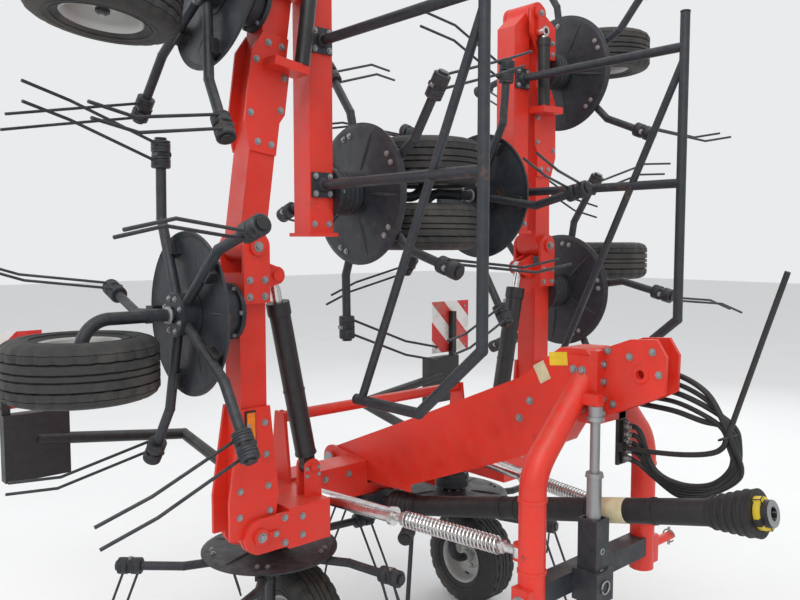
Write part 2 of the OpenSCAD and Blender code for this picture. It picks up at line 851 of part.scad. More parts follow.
// Rotor phases, in degrees: neighbouring rotors mesh their tines at work
phase_r = 21;
phase_l = -9;
function wing_phase(side) = side > 0 ? phase_r : phase_l;
function inner_phase(side) = 216 + 2 * atan2(centre_back, rotor_pitch) + wing_phase(side);

module centre_units() {
    frame_1(1) rotor_unit(centre_h / 2, -1);
    frame_1(-1) rotor_unit(centre_h / 2, 1);
}

machine() centre_beam();
machine() boom();
machine() headstock();
machine() crossbar();
machine() input_gearbox();
machine() drive_shaft();
machine() stabilizers();
centre_units();
machine() stand_strut();
machine() stand_leg();
machine() light_arms();
machine() warning_boards();

frame_1(1) rotor(1, inner_phase(1));  // rotor_1r
frame_1(-1) rotor(1, inner_phase(-1));  // rotor_1l
frame_1(1) wheel_at(-1);  // wheel_1r
frame_1(-1) wheel_at(1);  // wheel_1l

frame_a(1) section_a();  // section_a_r
frame_a(1) translate([rotor2_x, 0, 0]) rotor_unit(half_w, -1);  // unit_2r
frame_a(1) translate([rotor2_x, 0, 0]) rotor(-1, -wing_phase(1));  // rotor_2r
frame_a(1) translate([rotor2_x, 0, 0]) wheel_at(-1);  // wheel_2r
frame_a(-1) section_a();  // section_a_l
frame_a(-1) translate([rotor2_x, 0, 0]) rotor_unit(half_w, 1);  // unit_2l
frame_a(-1) translate([rotor2_x, 0, 0]) rotor(-1, -wing_phase(-1));  // rotor_2l
frame_a(-1) translate([rotor2_x, 0, 0]) wheel_at(1);  // wheel_2l

frame_b(1) section_b();  // section_b_r
frame_b(1) translate([rotor3_x, 0, 0]) rotor_unit(half_w, -1);  // unit_3r
frame_b(1) translate([rotor3_x, 0, 0]) rotor(1, wing_phase(1));  // rotor_3r
frame_b(1) translate([rotor3_x, 0, 0]) wheel_at(-1);  // wheel_3r
frame_b(-1) section_b();  // section_b_l
frame_b(-1) translate([rotor3_x, 0, 0]) rotor_unit(half_w, 1);  // unit_3l
frame_b(-1) translate([rotor3_x, 0, 0]) rotor(1, wing_phase(-1));  // rotor_3l
frame_b(-1) translate([rotor3_x, 0, 0]) wheel_at(1);  // wheel_3l

frame_c(1) section_c(1);  // section_c_r
frame_c(1) translate([rotor4_x, 0, 0]) rotor_unit(half_w, -1);  // unit_4r
frame_c(1) translate([rotor4_x, 0, 0]) rotor(-1, -wing_phase(1));  // rotor_4r
frame_c(1) translate([rotor4_x, 0, 0]) wheel_at(-1);  // wheel_4r
frame_c(-1) section_c(-1);  // section_c_l
frame_c(-1) translate([rotor4_x, 0, 0]) rotor_unit(half_w, 1);  // unit_4l
frame_c(-1) translate([rotor4_x, 0, 0]) rotor(-1, -wing_phase(-1));  // rotor_4l
frame_c(-1) translate([rotor4_x, 0, 0]) wheel_at(1);  // wheel_4l

frame_c(1) guard();  // guard_r
frame_c(-1) guard();  // guard_l
fold_frame(1) fold_barrel();  // fold_barrel_r
fold_frame(1) fold_rod();  // fold_rod_r
fold_frame(-1) fold_barrel();  // fold_barrel_l
fold_frame(-1) fold_rod();  // fold_rod_l
frame_b(1) tip_barrel(1);  // tip_barrel_r
frame_b(1) tip_rod(1);  // tip_rod_r
frame_b(-1) tip_barrel(-1);  // tip_barrel_l
frame_b(-1) tip_rod(-1);  // tip_rod_l
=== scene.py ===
import math
import random
import bpy
import bmesh
from mathutils import Matrix, Vector


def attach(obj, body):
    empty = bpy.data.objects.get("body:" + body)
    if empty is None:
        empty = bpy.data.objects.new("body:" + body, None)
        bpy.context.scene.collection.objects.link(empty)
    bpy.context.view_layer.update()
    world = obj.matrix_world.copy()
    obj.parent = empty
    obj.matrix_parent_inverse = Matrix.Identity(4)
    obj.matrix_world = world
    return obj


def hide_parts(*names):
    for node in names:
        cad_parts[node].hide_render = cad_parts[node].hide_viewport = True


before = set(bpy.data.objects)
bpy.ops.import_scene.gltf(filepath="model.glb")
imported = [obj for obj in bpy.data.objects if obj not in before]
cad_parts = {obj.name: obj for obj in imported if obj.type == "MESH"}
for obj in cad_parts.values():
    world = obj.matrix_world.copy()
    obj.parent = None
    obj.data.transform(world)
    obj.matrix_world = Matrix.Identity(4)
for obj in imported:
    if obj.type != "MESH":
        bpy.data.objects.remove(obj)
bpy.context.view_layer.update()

SIDES = ("r", "l")
WORD = {"r": "right", "l": "left"}
ROTORS = (1, 2, 3, 4)
rnd = random.Random(11)

# Sizes of the folded machine, in millimetres as in the part's source
MM = 0.001
MID_Y = 190.0
HINGE_X, HINGE_Z = 700.0, 702.5
LEAN = {"r": 8.0, "l": 1.0}
PITCH, BACK = 930.0, 250.0
A_LEN, B_LEN, C_LEN, PIN_UP = 890.0, 930.0, 880.0, 66.0
ROTOR_X = {
    2: 1.5 * PITCH - HINGE_X,
    3: 2.5 * PITCH - HINGE_X - A_LEN,
    4: 3.5 * PITCH - HINGE_X - A_LEN - B_LEN,
}

# Camera, fitted to the photograph before the machine was lowered by FIT_DROP (metres)
CAM_AT, FIT_DROP = (1.949, 2.119, 1.618), 0.012
CAM_BEARING, CAM_DIP, CAM_LENS = 48.3, 4.2, 35.4
cam_data = bpy.data.cameras.new("camera")
cam = bpy.data.objects.new("camera", cam_data)
bpy.context.scene.collection.objects.link(cam)
bpy.context.scene.camera = cam
cam_data.sensor_width = 36.0
cam_data.lens = CAM_LENS
cam_data.clip_start = 0.05
cam_data.clip_end = 100.0
theta, dip = math.radians(CAM_BEARING), math.radians(CAM_DIP)
look = Vector((-math.cos(theta) * math.cos(dip), -math.sin(theta) * math.cos(dip), -math.sin(dip)))
cam.location = (CAM_AT[0], CAM_AT[1] - MID_Y * MM, CAM_AT[2] - FIT_DROP)
cam.rotation_mode = "QUATERNION"
cam.rotation_quaternion = look.to_track_quat("-Z", "Y")


# Frames of the folded machine
def move(x, y, z):
    return Matrix.Translation((x, y, z))


def turn(axis, deg):
    return Matrix.Rotation(math.radians(deg), 4, axis)


def wing(side):
    base = move(0, -MID_Y, 0)
    return base @ Matrix.Diagonal((-1, 1, 1, 1)) if side == "l" else base


def frame_a(side):
    return wing(side) @ move(HINGE_X, 0, HINGE_Z) @ turn("Y", -90)


def frame_b(side):
    return frame_a(side) @ move(A_LEN, 0, 0) @ turn("Y", -LEAN[side])


def frame_c(side):
    return frame_b(side) @ move(B_LEN, 0, PIN_UP) @ turn("Y", LEAN[side] - 180) @ move(0, 0, -PIN_UP)


def rotor_frame(k, side):
    if k == 1:
        return wing(side) @ move(PITCH / 2, -BACK, HINGE_Z)
    return {2: frame_a, 3: frame_b, 4: frame_c}[k](side) @ move(ROTOR_X[k], 0, 0)


BODY = {1: {s: "frame" for s in SIDES}}
for k, section in ((2, "inner_"), (3, "middle_"), (4, "middle_")):
    BODY[k] = {s: section + WORD[s] for s in SIDES}


# Materials
def principled(name):
    m = bpy.data.materials.new(name)
    m.use_nodes = True
    return m, m.node_tree.nodes, m.node_tree.links, m.node_tree.nodes["Principled BSDF"]


def noise(n, l, coord, scale, detail=6.0, rough=0.6):
    t = n.new("ShaderNodeTexNoise")
    t.inputs["Scale"].default_value = scale
    t.inputs["Detail"].default_value = detail
    t.inputs["Roughness"].default_value = rough
    l.new(coord, t.inputs["Vector"])
    return t.outputs["Fac"]


def ramp(n, l, fac, stops):
    r = n.new("ShaderNodeValToRGB")
    while len(r.color_ramp.elements) < len(stops):
        r.color_ramp.elements.new(0.5)
    for e, (p, c) in zip(r.color_ramp.elements, stops):
        e.position = p
        e.color = (c[0], c[1], c[2], 1) if hasattr(c, "__len__") else (c, c, c, 1)
    l.new(fac, r.inputs["Fac"])
    return r.outputs["Color"]


def mix(n, l, fac, a, b):
    m = n.new("ShaderNodeMix")
    m.data_type = "RGBA"
    for sock, v in ((m.inputs["Factor"], fac), (m.inputs["A"], a), (m.inputs["B"], b)):
        if hasattr(v, "is_output"):
            l.new(v, sock)
        elif hasattr(v, "__len__"):
            sock.default_value = (v[0], v[1], v[2], 1)
        else:
            sock.default_value = v
    return m.outputs["Result"]


def math_node(n, l, op, a, b=0.0):
    m = n.new("ShaderNodeMath")
    m.operation = op
    for sock, v in ((m.inputs[0], a), (m.inputs[1], b)):
        if hasattr(v, "is_output"):
            l.new(v, sock)
        else:
            sock.default_value = v
    return m.outputs[0]


def bump(n, l, b, height, dist, strength=0.4):
    k = n.new("ShaderNodeBump")
    k.inputs["Distance"].default_value = dist
    k.inputs["Strength"].default_value = strength
    l.new(height, k.inputs["Height"])
    l.new(k.outputs["Normal"], b.inputs["Normal"])


# Share of the dust that also stays on faces that don't look up
DUST_FLOOR = 0.28


def paint(name, base, dust, rust, rough, dusty, worn):
    """Worn machine paint: slow tone changes, dust on what faces up, rust specks and scuffs."""
    m, n, l, b = principled(name)
    tc = n.new("ShaderNodeTexCoord").outputs["Object"]
    geo = n.new("ShaderNodeNewGeometry")
    sep = n.new("ShaderNodeSeparateXYZ")
    l.new(geo.outputs["Normal"], sep.inputs[0])
    big = noise(n, l, tc, 3.5)
    fine = noise(n, l, tc, 38.0, 8.0, 0.7)
    tone = ramp(n, l, big, [(0.3, [c * 0.82 for c in base]), (0.7, [min(1.0, c * 1.12) for c in base])])
    up = math_node(n, l, "MULTIPLY", math_node(n, l, "MAXIMUM", sep.outputs["Z"], DUST_FLOOR), dusty)
    grain = ramp(n, l, fine, [(0.35, 0.0), (0.75, 1.0)])
    dirt = math_node(n, l, "MULTIPLY", up, grain)
    col = mix(n, l, dirt, tone, dust)
    edge = n.new("ShaderNodeBevel")
    edge.samples = 4
    edge.inputs["Radius"].default_value = 0.004
    dot = n.new("ShaderNodeVectorMath")
    dot.operation = "DOT_PRODUCT"
    l.new(edge.outputs[0], dot.inputs[0])
    l.new(geo.outputs["Normal"], dot.inputs[1])
    rim = ramp(n, l, dot.outputs["Value"], [(0.86, 1.0), (0.985, 0.0)])
    specks = ramp(n, l, noise(n, l, tc, 22.0, 9.0, 0.75), [(worn, 0.0), (worn + 0.05, 1.0)])
    scuffs = math_node(n, l, "MULTIPLY", rim, specks)
    patches = math_node(n, l, "MULTIPLY", specks, ramp(n, l, big, [(0.56, 0.0), (0.68, 0.8)]))
    chip = math_node(n, l, "MAXIMUM", scuffs, patches)
    col = mix(n, l, chip, col, rust)
    l.new(col, b.inputs["Base Color"])
    shine = ramp(n, l, noise(n, l, tc, 14.0), [(0.3, rough[0]), (0.75, rough[1])])
    l.new(shine, b.inputs["Roughness"])
    bump(n, l, b, fine, 0.0012, 0.25)
    return m


def metallic(m, share):
    m.node_tree.nodes["Principled BSDF"].inputs["Metallic"].default_value = share


RED = paint("red_paint", (0.72, 0.024, 0.010), dust=(0.30, 0.15, 0.10), rust=(0.10, 0.042, 0.025),
            rough=(0.30, 0.55), dusty=0.62, worn=0.575)
DARK = paint("dark_paint", (0.013, 0.018, 0.027), dust=(0.115, 0.105, 0.090), rust=(0.12, 0.058, 0.032),
             rough=(0.40, 0.68), dusty=0.75, worn=0.55)
BLACK = paint("black_paint", (0.009, 0.009, 0.011), dust=(0.09, 0.084, 0.075), rust=(0.08, 0.045, 0.03),
              rough=(0.36, 0.6), dusty=0.6, worn=0.57)
PLASTIC = paint("black_plastic", (0.010, 0.010, 0.012), dust=(0.085, 0.078, 0.07), rust=(0.04, 0.04, 0.04),
                rough=(0.48, 0.70), dusty=0.5, worn=0.66)
STEEL = paint("grey_steel", (0.34, 0.35, 0.36), dust=(0.36, 0.33, 0.29), rust=(0.20, 0.11, 0.06),
              rough=(0.36, 0.6), dusty=0.4, worn=0.58)
metallic(STEEL, 0.75)
RIM = paint("pale_rim", (0.50, 0.50, 0.49), dust=(0.34, 0.31, 0.27), rust=(0.16, 0.11, 0.07),
            rough=(0.4, 0.65), dusty=0.5, worn=0.56)
metallic(RIM, 0.3)
YELLOW = paint("yellow_plastic", (0.80, 0.58, 0.03), dust=(0.50, 0.42, 0.25), rust=(0.2, 0.15, 0.08),
               rough=(0.35, 0.55), dusty=0.4, worn=0.66)


def chrome_material():
    m, n, l, b = principled("plated_rod")
    tc = n.new("ShaderNodeTexCoord").outputs["Object"]
    f = noise(n, l, tc, 30.0, 8.0, 0.7)
    l.new(ramp(n, l, f, [(0.4, (0.72, 0.72, 0.73)), (0.75, (0.45, 0.42, 0.38))]), b.inputs["Base Color"])
    b.inputs["Metallic"].default_value = 1.0
    l.new(ramp(n, l, noise(n, l, tc, 9.0), [(0.3, 0.16), (0.8, 0.42)]), b.inputs["Roughness"])
    bump(n, l, b, f, 0.0006, 0.2)
    return m


CHROME = chrome_material()


def rubber_material():
    m, n, l, b = principled("tyre_rubber")
    tc = n.new("ShaderNodeTexCoord").outputs["Object"]
    big = noise(n, l, tc, 5.0)
    fine = noise(n, l, tc, 60.0, 8.0, 0.7)
    tone = ramp(n, l, fine, [(0.3, (0.016, 0.016, 0.017)), (0.7, (0.042, 0.041, 0.040))])
    mud = ramp(n, l, big, [(0.48, 0.0), (0.72, 0.55)])
    l.new(mix(n, l, mud, tone, (0.12, 0.105, 0.085)), b.inputs["Base Color"])
    l.new(ramp(n, l, fine, [(0.3, 0.62), (0.7, 0.85)]), b.inputs["Roughness"])
    bump(n, l, b, fine, 0.0015, 0.35)
    return m


RUBBER = rubber_material()


# Metres across and up together
STRIPE_STEP, STRIPE_SHIFT = 0.2, 0.02


def stripes_material():
    """Red and white diagonal stripes of a warning board, with a fine reflective cell grain."""
    m, n, l, b = principled("warning_stripes")
    tc = n.new("ShaderNodeTexCoord").outputs["Object"]
    sep = n.new("ShaderNodeSeparateXYZ")
    l.new(tc, sep.inputs[0])
    across = math_node(n, l, "ABSOLUTE", sep.outputs["X"])
    s = math_node(n, l, "ADD", across, sep.outputs["Z"])
    shifted = math_node(n, l, "ADD", s, STRIPE_SHIFT)
    cell = math_node(n, l, "FRACT", math_node(n, l, "MULTIPLY", shifted, 1 / STRIPE_STEP))
    half = math_node(n, l, "GREATER_THAN", cell, 0.5)
    vor = n.new("ShaderNodeTexVoronoi")
    vor.inputs["Scale"].default_value = 260.0
    l.new(tc, vor.inputs["Vector"])
    dirt = ramp(n, l, noise(n, l, tc, 12.0, 8.0), [(0.5, 0.0), (0.8, 0.6)])
    col = mix(n, l, half, (0.82, 0.81, 0.78), (0.62, 0.03, 0.025))
    l.new(mix(n, l, dirt, col, (0.34, 0.29, 0.23)), b.inputs["Base Color"])
    l.new(ramp(n, l, noise(n, l, tc, 20.0), [(0.3, 0.3), (0.7, 0.5)]), b.inputs["Roughness"])
    bump(n, l, b, vor.outputs["Distance"], 0.0006, 0.25)
    return m


STRIPES = stripes_material()


def lens_material(name, colour):
    """Moulded reflector or lamp lens with a fine prism grid."""
    m, n, l, b = principled(name)
    tc = n.new("ShaderNodeTexCoord").outputs["Object"]
    w = n.new("ShaderNodeTexWave")
    w.bands_direction = "DIAGONAL"
    w.inputs["Scale"].default_value = 110.0
    w.inputs["Distortion"].default_value = 0.4
    l.new(tc, w.inputs["Vector"])
    tone = ramp(n, l, noise(n, l, tc, 25.0), [(0.3, [c * 0.7 for c in colour]), (0.7, colour)])
    l.new(tone, b.inputs["Base Color"])
    l.new(ramp(n, l, noise(n, l, tc, 60.0), [(0.3, 0.18), (0.8, 0.4)]), b.inputs["Roughness"])
    bump(n, l, b, w.outputs["Fac"], 0.0008, 0.4)
    return m


ORANGE = lens_material("orange_reflector", (0.92, 0.24, 0.01))
AMBER = lens_material("yellow_reflector", (0.92, 0.62, 0.03))
RED_LENS = lens_material("red_lens", (0.55, 0.015, 0.01))


def label_material():
    m, n, l, b = principled("blank_label")
    tc = n.new("ShaderNodeTexCoord").outputs["Object"]
    f = noise(n, l, tc, 18.0, 8.0, 0.65)
    l.new(ramp(n, l, f, [(0.35, (0.72, 0.64, 0.40)), (0.75, (0.46, 0.39, 0.26))]), b.inputs["Base Color"])
    l.new(ramp(n, l, f, [(0.3, 0.4), (0.7, 0.65)]), b.inputs["Roughness"])
    bump(n, l, b, f, 0.0006, 0.2)
    return m


LABEL = label_material()


# Mesh helpers, in millimetres
SHARP = math.radians(35.0)


def to_object(name, bm, mats, smooth=True):
    """Object in metres from a mesh in millimetres. Edges sharper than SHARP stay hard."""
    me = bpy.data.meshes.new(name)
    bm.transform(Matrix.Scale(MM, 4))
    bm.normal_update()
    if smooth:
        for f in bm.faces:
            f.smooth = True
        for e in bm.edges:
            if len(e.link_faces) == 2 and e.calc_face_angle(0) > SHARP:
                e.smooth = False
    bm.to_mesh(me)
    bm.free()
    o = bpy.data.objects.new(name, me)
    bpy.context.scene.collection.objects.link(o)
    for mat in mats:
        me.materials.append(mat)
    return o


def circle(n):
    """The angles of n steps round a circle."""
    return [2 * math.pi * i / n for i in range(n)]


def skin(bm, rings, mat):
    """Faces between each ring of vertices and the next."""
    for a, b in zip(rings, rings[1:]):
        n = len(a)
        for j in range(n):
            bm.faces.new((a[j], a[(j + 1) % n], b[(j + 1) % n], b[j])).material_index = mat


def lathe(bm, profile, place, segs=40, closed=True, mat=0):
    """Turns a profile of (radius, height) about the local z axis."""
    rings = []
    for a in circle(segs):
        rings.append([bm.verts.new(place @ Vector((r * math.cos(a), r * math.sin(a), h)))
                      for r, h in profile])
    n = len(profile)
    for i in range(segs):
        p, q = rings[i], rings[(i + 1) % segs]
        for j in range(n if closed else n - 1):
            k = (j + 1) % n
            bm.faces.new((p[j], q[j], q[k], p[k])).material_index = mat


def prism(bm, r, h, place, n=6, bevel=0.0, mat=0):
    """Closed n-sided prism with a bevelled top, such as a bolt head."""
    prof = [(r, 0), (r, h - bevel), (r - bevel, h)] if bevel else [(r, 0), (r, h)]
    rings = []
    for rr, z in prof:
        rings.append([bm.verts.new(place @ Vector((rr * math.cos(a), rr * math.sin(a), z)))
                      for a in circle(n)])
    skin(bm, rings, mat)
    bm.faces.new(rings[-1]).material_index = mat
    bm.faces.new(list(reversed(rings[0]))).material_index = mat


def block(bm, lo, hi, place, mat=0, bevel=0.0):
    """Box between two corners, with its edges bevelled."""
    mid = [(a + b) / 2 for a, b in zip(lo, hi)]
    size = [b - a for a, b in zip(lo, hi)]
    vs = bmesh.ops.create_cube(bm, size=1.0)["verts"]
    bmesh.ops.transform(bm, matrix=place @ move(*mid) @ Matrix.Diagonal((*size, 1)), verts=vs)
    for f in {f for v in vs for f in v.link_faces}:
        f.material_index = mat
    if bevel:
        edges = list({e for v in vs for e in v.link_edges})
        bmesh.ops.bevel(bm, geom=edges, offset=bevel, segments=2, affect="EDGES", profile=0.7)


def tube(bm, pts, r, segs=10, mat=0, caps=True):
    """Round tube swept along points without twisting. Its radius may be a function of the way along."""
    pts = [Vector(p) for p in pts]
    last = len(pts) - 1
    t0 = (pts[1] - pts[0]).normalized()
    up = Vector((0, 0, 1)) if abs(t0.z) < 0.9 else Vector((1, 0, 0))
    side = t0.cross(up).normalized()
    rings = []
    for i, p in enumerate(pts):
        t = (pts[min(i + 1, last)] - pts[max(i - 1, 0)]).normalized()
        side = (side - t * side.dot(t)).normalized()
        other = t.cross(side)
        rr = r(i / last) if callable(r) else r
        rings.append([bm.verts.new(p + rr * (math.cos(a) * side + math.sin(a) * other))
                      for a in circle(segs)])
    skin(bm, rings, mat)
    if caps:
        bm.faces.new(list(reversed(rings[0]))).material_index = mat
        bm.faces.new(rings[-1]).material_index = mat


def spline(pts, per=6):
    """Catmull-Rom points through a list of points."""
    pts = [Vector(p) for p in pts]
    out = []
    for i in range(len(pts) - 1):
        p0, p1, p2, p3 = pts[max(i - 1, 0)], pts[i], pts[i + 1], pts[min(i + 2, len(pts) - 1)]
        for k in range(per):
            t = k / per
            square = (2 * p0 - 5 * p1 + 4 * p2 - p3) * t * t
            cube = (3 * p1 - p0 - 3 * p2 + p3) * t ** 3
            out.append(0.5 * ((2 * p1) + (p2 - p0) * t + square + cube))
    out.append(pts[-1])
    return out


def facing(axis, at):
    """Matrix that stands local z along an axis at a point."""
    return Matrix.Translation(at) @ Vector(axis).to_track_quat("Z", "Y").to_matrix().to_4x4()


def bolt(bm, at, axis, r, mat):
    """Washer, six-sided head turned at random, and the end of the thread."""
    m = facing(axis, at)
    lathe(bm, [(0.01, 0), (r * 1.45, 0), (r * 1.45, 2.0), (0.01, 2.4)], m, 16, False, mat)
    prism(bm, r, r * 0.85, m @ move(0, 0, 2) @ turn("Z", rnd.uniform(0, 60)), 6, 1.2, mat)
    lathe(bm, [(0.01, 2), (r * 0.55, 2), (r * 0.55, r * 1.15), (0.01, r * 1.2)], m, 10, False, mat)


# CAD nodes keep their shapes and get worn materials
def dress(mat, *nodes):
    for node in nodes:
        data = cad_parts[node].data
        data.materials.clear()
        data.materials.append(mat)
        for p in data.polygons:
            p.material_index = 0


dress(RED, "centre_beam", "boom", "headstock")
for s in SIDES:
    dress(RED, "section_a_" + s, "section_b_" + s, "section_c_" + s)
    dress(BLACK, "fold_barrel_" + s, "tip_barrel_" + s)
    dress(CHROME, "fold_rod_" + s, "tip_rod_" + s)
    dress(DARK, "guard_" + s, *["rotor_%d%s" % (k, s) for k in ROTORS])
    dress(DARK, *["unit_%d%s" % (k, s) for k in ROTORS if k > 1])
dress(DARK, "crossbar", "input_gearbox", "centre_units", "stand_leg")
dress(BLACK, "light_arms")
dress(PLASTIC, "drive_shaft")
dress(CHROME, "stabilizers")
dress(STEEL, "stand_strut")
dress(STRIPES, "warning_boards")

# Wheels: ribbed tyre with shoulder blocks, on a dished pale rim
TYRE_R, TYRE_H, RIM_R, WHEEL_OFF, DROP, AXLE_R = 202.5, 82.5, 101.5, 125.0, 500.0, 12.0
TYRE_STEPS, WHEEL_BOLT_R = 96, 44
# The side of the leg that the wheel stands on, along the rotor frame's x
OUT = {"r": -1, "l": 1}
SIDEWALL = [(RIM_R + 4, 66), (RIM_R + 14, 72), (RIM_R + 34, 81), (RIM_R + 50, TYRE_H),
            (TYRE_R - 36, 82), (TYRE_R - 20, 77), (TYRE_R - 9, 70), (TYRE_R - 2, 58)]
TYRE = [(r, -h) for r, h in SIDEWALL]
for a, b in ((-56, -38), (-32, -12), (-6, 6), (12, 32), (38, 56)):
    TYRE += [(TYRE_R - 9, a - 2), (TYRE_R - 0.3, a), (TYRE_R - 0.3, b), (TYRE_R - 9, b + 2)]
TYRE += SIDEWALL[::-1]
RIM_SHAPE = [(RIM_R + 4, -64), (RIM_R + 7, -68), (RIM_R + 3, -71), (RIM_R - 3, -66), (RIM_R - 8, -50),
             (RIM_R - 10, -20), (RIM_R - 16, -12), (60, -8), (52, -14), (30, -14), (30, 12), (56, 12),
             (62, 8), (RIM_R - 14, 2), (RIM_R - 8, 14), (RIM_R - 7, 50), (RIM_R - 3, 66),
             (RIM_R + 3, 71), (RIM_R + 7, 68), (RIM_R + 4, 64)]
HUB = [(AXLE_R + 0.4, -40), (27, -40), (29, -37), (29, -15), (29, 15), (29, 37), (27, 40),
       (AXLE_R + 0.4, 40)]


def tread_cut(i, r, h):
    """Depth of the cuts in the shoulders and in the middle ribs, at one step round the tyre."""
    if r > TYRE_R - 25 and abs(h) > 34 and i % 4 == 0:
        return 6
    if r > TYRE_R - 1 and abs(h) < 34 and i % 4 == 2:
        return 2.5
    return 0


def wheel(k, side):
    place = rotor_frame(k, side) @ move(OUT[side] * WHEEL_OFF, 0, -DROP) @ turn("Y", 90)
    bm = bmesh.new()
    shift = rnd.uniform(0, 6.28)
    rings = []
    for i, step in enumerate(circle(TYRE_STEPS)):
        a = step + shift
        ring = []
        for r, h in TYRE:
            rr = r - tread_cut(i, r, h)
            ring.append(bm.verts.new(place @ Vector((rr * math.cos(a), rr * math.sin(a), h))))
        rings.append(ring)
    for i in range(TYRE_STEPS):
        p, q = rings[i], rings[(i + 1) % TYRE_STEPS]
        for j in range(len(TYRE) - 1):
            bm.faces.new((p[j], q[j], q[j + 1], p[j + 1])).material_index = 0
    # Raised rings on the sidewalls
    for z in (-1, 1):
        for r, h in ((RIM_R + 27, 80.2), (RIM_R + 44, 82.7)):
            lathe(bm, [(r - 2, z * (h - 2)), (r - 1, z * (h + 0.6)), (r + 1, z * (h + 0.8)),
                       (r + 2, z * (h - 2))], place, 72, True, 0)
    lathe(bm, RIM_SHAPE, place, 56, False, 1)
    lathe(bm, HUB, place, 32, True, 1)
    for i in range(4):
        a = math.pi / 2 * i + 0.4 + shift
        for z, up in ((-14, -1), (12, 1)):
            at = place @ Vector((WHEEL_BOLT_R * math.cos(a), WHEEL_BOLT_R * math.sin(a), z))
            prism(bm, 8, 7, facing(place.to_3x3() @ Vector((0, 0, up)), at), 6, 1, 2)
    # Valve
    tube(bm, [place @ Vector((RIM_R - 16, 0, -16)), place @ Vector((RIM_R - 30, 0, -34))], 3.5, 8, 0)
    o = to_object("tyre_and_rim_%d%s" % (k, side), bm, [RUBBER, RIM, STEEL])
    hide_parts("wheel_%d%s" % (k, side))
    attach(o, "wheel_%d%s" % (k, side))


for s in SIDES:
    for k in ROTORS:
        wheel(k, s)

# Rotors: coil springs, spring clamps, disc ribs and hub bolts
ARM_Z, HUB_R, DISC_R, HOLDER_R, KINK_R, TRAIL, ROTOR_TOP = 215.0, 62.0, 240.0, 470.0, 300.0, 70.0, 168.0
COIL_R, COIL_L, WIRE_R, ARM_R = 28.0, 36.0, 4.5, 15.0
COIL_MID, COIL_TURNS, COIL_STEPS = COIL_R - 3.5, 4, 14
DISC_SLOPE = 0.0473
PHASE = {"r": 21.0, "l": -9.0}


def coil(place, x0):
    """Centre line of one coil spring, whose axis is local x."""
    steps = COIL_TURNS * COIL_STEPS
    pts = []
    for j in range(steps + 1):
        a = 2 * math.pi * j / COIL_STEPS + math.pi / 2
        x = x0 + 4 + (COIL_L - 8) * j / steps
        pts.append(place @ Vector((x, COIL_MID * math.cos(a), COIL_MID * math.sin(a))))
    return pts


def rib_radius(t):
    return 3.0 + 4.5 * math.sin(math.pi * min(max(t, 0.04), 0.96))


def rotor_detail(k, side):
    d = 1 if k in (1, 3) else -1
    if k == 1:
        phase = 216 + 2 * math.degrees(math.atan2(BACK, PITCH)) + PHASE[side]
    else:
        phase = PHASE[side] if k == 3 else -PHASE[side]
    base = rotor_frame(k, side)
    bend = math.degrees(math.atan2(-d * TRAIL, HOLDER_R - KINK_R))
    bm = bmesh.new()
    for i in range(5):
        m = base @ turn("Z", phase + 72 * i)
        tip = m @ move(HOLDER_R, -d * TRAIL, -ARM_Z) @ turn("Z", bend)
        for x0 in (-COIL_L - 2, 8):
            tube(bm, coil(tip, x0), WIRE_R, 6, 0)
        block(bm, (-3.5, -21, -20), (9.5, 21, 24), tip, 1, 2.5)
        bolt(bm, tip @ Vector((3, 0, 24)), tip.to_3x3() @ Vector((0, 0, 1)), 7, 2)
        prism(bm, ARM_R + 2.5, 5, tip @ move(COIL_L + 11, 0, 0) @ turn("Y", 90), 20, 1, 1)
        # Clamp that holds the arm under the disc's rim
        block(bm, (DISC_R - 62, -24, -ARM_Z - 3), (DISC_R - 14, 24, -ROTOR_TOP - 26), m, 1, 2)
        for y in (-17, 17):
            at = m @ Vector((DISC_R - 38, y, -ROTOR_TOP - 10.5))
            bolt(bm, at, m.to_3x3() @ Vector((0.08, 0, 1)), 7, 2)
        # Pressed rib on the disc, between two arms
        rib = m @ turn("Z", 36)
        line = [rib @ Vector((x, 0, -ROTOR_TOP - 4 - (x - 57) * DISC_SLOPE - 1.5))
                for x in (84, 100, 130, 160, 190, 214)]
        tube(bm, line, rib_radius, 8, 0)
    for i in range(8):
        m = base @ turn("Z", phase + 45 * i)
        prism(bm, 7, 6, m @ move(48, 0, -ROTOR_TOP - 0.5), 6, 1, 2)
        bolt(bm, m @ Vector((50, 0, -238)), m.to_3x3() @ Vector((0, 0, -1)), 6, 2)
    # Rolled rim of the disc, and the rings over and under the hub
    rim_z = -ROTOR_TOP - 18
    lathe(bm, [(DISC_R - 1.5, rim_z), (DISC_R + 1.5, rim_z - 1), (DISC_R + 1.5, rim_z - 7),
               (DISC_R - 1.5, rim_z - 8)], base, 72, True, 0)
    lathe(bm, [(HUB_R, -176), (HUB_R + 9, -178), (HUB_R + 13, -184), (HUB_R, -186)], base, 40, True, 0)
    lathe(bm, [(HUB_R - 1, -226), (HUB_R + 3, -228), (HUB_R + 3, -234), (HUB_R - 1, -236)],
          base, 40, True, 0)
    o = to_object("rotor_fittings_%d%s" % (k, side), bm, [DARK, BLACK, STEEL])
    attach(o, "rotor_%d%s" % (k, side))


for s in SIDES:
    for k in ROTORS:
        rotor_detail(k, s)

# Gearbox covers and leg fittings on each rotor unit
COVER_R, AXLE_END = 79, WHEEL_OFF + 54.2


